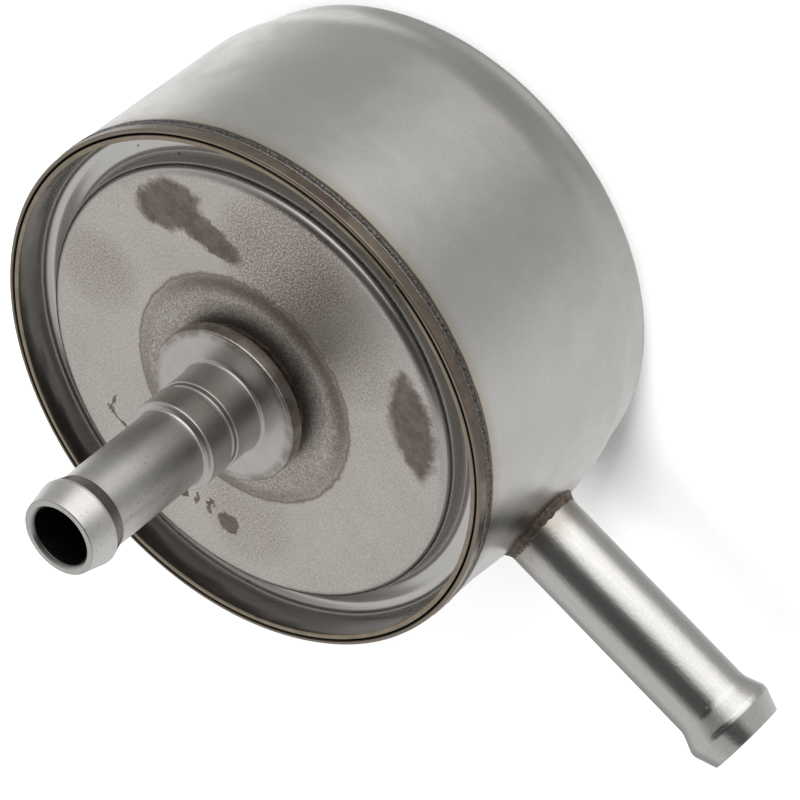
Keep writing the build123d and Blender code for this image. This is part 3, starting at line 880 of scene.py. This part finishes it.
def build_pipe_weld(material):
    """The thin hand-run fillet between pipe and can, which follows the can's curve."""
    face = CAN_RADIUS + SWELL_HEIGHT

    def uneven(point):
        around = Vector((0, point.y, point.z - PIPE_HEIGHT))
        reach = around.length - PIPE_RADIUS
        fatter = 0.25 * wave(point, 2.0, 2.0) + 0.25 * wave(point, 0.6, 5.0)
        creep = 0.30 * wave(around, 1.6, 3.0) + 0.14 * wave(around, 0.5, 7.0)
        along = max(0.0, point.x - face)
        curve = point.y**2 / (2 * SWELL_RADIUS)
        return point + around.normalized() * reach * fatter + Vector((creep * along - curve, 0, 0))

    corners = [
        (PIPE_RADIUS - 0.1, face - 0.9),
        (PIPE_RADIUS + 0.7, face - 0.9, 0.1),
        (PIPE_RADIUS + 0.45, face - 0.1, 0.2),
        (PIPE_RADIUS + 0.18, face + 0.35, 0.3),
        (PIPE_RADIUS + 0.02, face + 0.8, 0.1),
        (PIPE_RADIUS - 0.1, face + 0.8),
    ]
    weld = lathe(
        "pipe_weld_bead", corners, 300, place=about_pipe, longest=0.08, warp=uneven, crease=70
    )
    hand_over(weld, material, "brown_weld", "pipe_weld")


def build_spring():
    """The element's coil spring under the float, built as one fixed helix."""
    low, high = box_mm("element_spring")
    radius = high.x - SPRING_WIRE / 2
    rise = high.z - low.z - SPRING_WIRE
    slope = rise / (math.tau * SPRING_TURNS * radius)
    mesh = bmesh.new()
    rings = []
    for step in range(SPRING_STEPS + 1):
        share = step / SPRING_STEPS
        angle = math.tau * SPRING_TURNS * share
        centre = about_can(radius, low.z + SPRING_WIRE / 2 + rise * share, angle)
        out = about_can(1, 0, angle)
        up = out.cross(Vector((-out.y, out.x, slope)).normalized())
        ring = []
        for side in range(SPRING_SIDES):
            turn = math.tau * side / SPRING_SIDES
            spoke = (out * math.cos(turn) + up * math.sin(turn)) * SPRING_WIRE / 2
            ring.append(mesh.verts.new((centre + spoke) * MM))
        rings.append(ring)
    for first, second in zip(rings, rings[1:]):
        join_rings(mesh, first, second)
    mesh.faces.new(rings[0])
    mesh.faces.new(rings[-1])
    spring = finished("coil_spring", mesh, 35)
    hand_over(spring, spring_steel(), "spring_steel", "element_spring")
    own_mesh(spring)


def finish_inside():
    """Better materials for the CAD nodes that stay: the filter element inside the can."""
    caps = cap_steel()
    sealant = potting()
    finishes = {
        "spring_seat": caps,
        "lower_end_cap": caps,
        "upper_end_cap": caps,
        "core_tube": caps,
        "media_seam_clip": caps,
        "lower_potting": sealant,
        "upper_potting": sealant,
        "pleated_media": filter_paper(),
        "outlet_seal": seal_rubber(),
    }
    for name, material in finishes.items():
        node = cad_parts[name]
        for slot in node.material_slots:
            slot.material = material


# Studio

# Half the floor's width, in metres
FLOOR_HALF = 3.0


def build_floor():
    level = cad_bounds[0][2]
    mesh = bmesh.new()
    corners = [(-1, -1), (1, -1), (1, 1), (-1, 1)]
    places = [(x * FLOOR_HALF, y * FLOOR_HALF, level) for x, y in corners]
    mesh.faces.new([mesh.verts.new(place) for place in places])
    data = bpy.data.meshes.new("floor")
    mesh.to_mesh(data)
    mesh.free()
    floor = bpy.data.objects.new("floor", data)
    floor.data.materials.append(pale_floor())
    bpy.context.collection.objects.link(floor)
    floor.visible_glossy = False


def compass(azimuth, elevation):
    """The direction at this azimuth from +X towards +Y, and this height above the horizon."""
    east = Vector((math.cos(math.radians(azimuth)), math.sin(math.radians(azimuth)), 0))
    return (east + Vector((0, 0, math.tan(math.radians(elevation))))).normalized()


def build_lamp(name, azimuth, elevation, distance, size, power):
    """A square soft lamp for the floor and its shadows; metal mirrors the surround instead."""
    light = bpy.data.lights.new(name, "AREA")
    light.shape = "SQUARE"
    light.size = size
    light.energy = power
    lamp = bpy.data.objects.new(name, light)
    away = compass(azimuth, elevation)
    lamp.location = away * distance
    lamp.rotation_euler = away.to_track_quat("Z", "Y").to_euler()
    lamp.visible_glossy = False
    bpy.context.collection.objects.link(lamp)


# The surround that the metal mirrors: soft panels on a grey ground, as
# (azimuth, elevation, full to, gone by, brightness), where less than 0 is a dark flag
GROUND_LIGHT = 0.56
PANELS = [
    (108, -2, 6, 50, 1.12),
    (90, 70, 14, 44, -0.46),
    (42, 38, 8, 32, -0.46),
    (170, 52, 8, 34, -0.20),
    (264, 35, 20, 60, 0.16),
    (-25, -40, 20, 60, 0.36),
    (230, -42, 8, 32, 0.62),
    (276, -5, 6, 34, -0.24),
    (0, -90, 10, 50, -0.14),
]
DARKEST = 0.07


def build_world():
    """The studio surround."""
    world = bpy.data.worlds.new("studio")
    world.use_nodes = True
    bpy.context.scene.world = world
    tree = world.node_tree
    direction = tree.nodes.new("ShaderNodeTexCoord").outputs["Generated"]
    total = None
    for azimuth, elevation, inner, outer, brightness in PANELS:
        facing = tree.nodes.new("ShaderNodeVectorMath")
        facing.operation = "DOT_PRODUCT"
        tree.links.new(direction, facing.inputs[0])
        facing.inputs[1].default_value = compass(azimuth, elevation)
        panel = tree.nodes.new("ShaderNodeMapRange")
        panel.interpolation_type = "SMOOTHSTEP"
        tree.links.new(facing.outputs["Value"], panel.inputs["Value"])
        panel.inputs["From Min"].default_value = math.cos(math.radians(outer))
        panel.inputs["From Max"].default_value = math.cos(math.radians(inner))
        panel.inputs["To Max"].default_value = brightness
        adding = tree.nodes.new("ShaderNodeMath")
        adding.inputs[0].default_value = GROUND_LIGHT
        if total is not None:
            tree.links.new(total, adding.inputs[0])
        tree.links.new(panel.outputs[0], adding.inputs[1])
        total = adding.outputs[0]
    kept_lit = tree.nodes.new("ShaderNodeMath")
    kept_lit.operation = "MAXIMUM"
    tree.links.new(total, kept_lit.inputs[0])
    kept_lit.inputs[1].default_value = DARKEST
    tree.links.new(kept_lit.outputs[0], tree.nodes["Background"].inputs["Color"])


def build_camera():
    azimuth = math.radians(VIEW_AZIMUTH)
    elevation = math.radians(VIEW_ELEVATION)
    away = Vector((math.cos(azimuth), math.sin(azimuth), math.tan(elevation))).normalized()
    level = Vector((0, 0, 1)).cross(away).normalized()
    roll = Matrix.Rotation(math.radians(VIEW_ROLL), 3, away)
    right = roll @ level
    up = away.cross(right)
    turn = Matrix((right, up, away)).transposed()
    data = bpy.data.cameras.new("camera")
    data.lens = LENS
    data.clip_start = 0.01
    camera = bpy.data.objects.new("camera", data)
    place = (VIEW_AIM + away * VIEW_DISTANCE) * MM
    camera.matrix_world = Matrix.Translation(place) @ turn.to_4x4()
    bpy.context.collection.objects.link(camera)
    bpy.context.scene.camera = camera


def main():
    seam_weld = seam_weld_steel()
    weld = brown_weld()
    build_can()
    build_cover()
    build_seam_weld(seam_weld)
    build_tack(seam_weld)
    build_spigot()
    build_spigot_weld(weld)
    build_pipe()
    build_pipe_weld(weld)
    build_spring()
    finish_inside()
    build_floor()
    build_world()
    build_lamp("key", 112, 38, 0.8, 0.30, 5.0)
    build_lamp("top", 0, 89, 1.2, 1.2, 14.0)
    build_camera()
    bpy.context.scene.view_settings.view_transform = "Standard"


main()
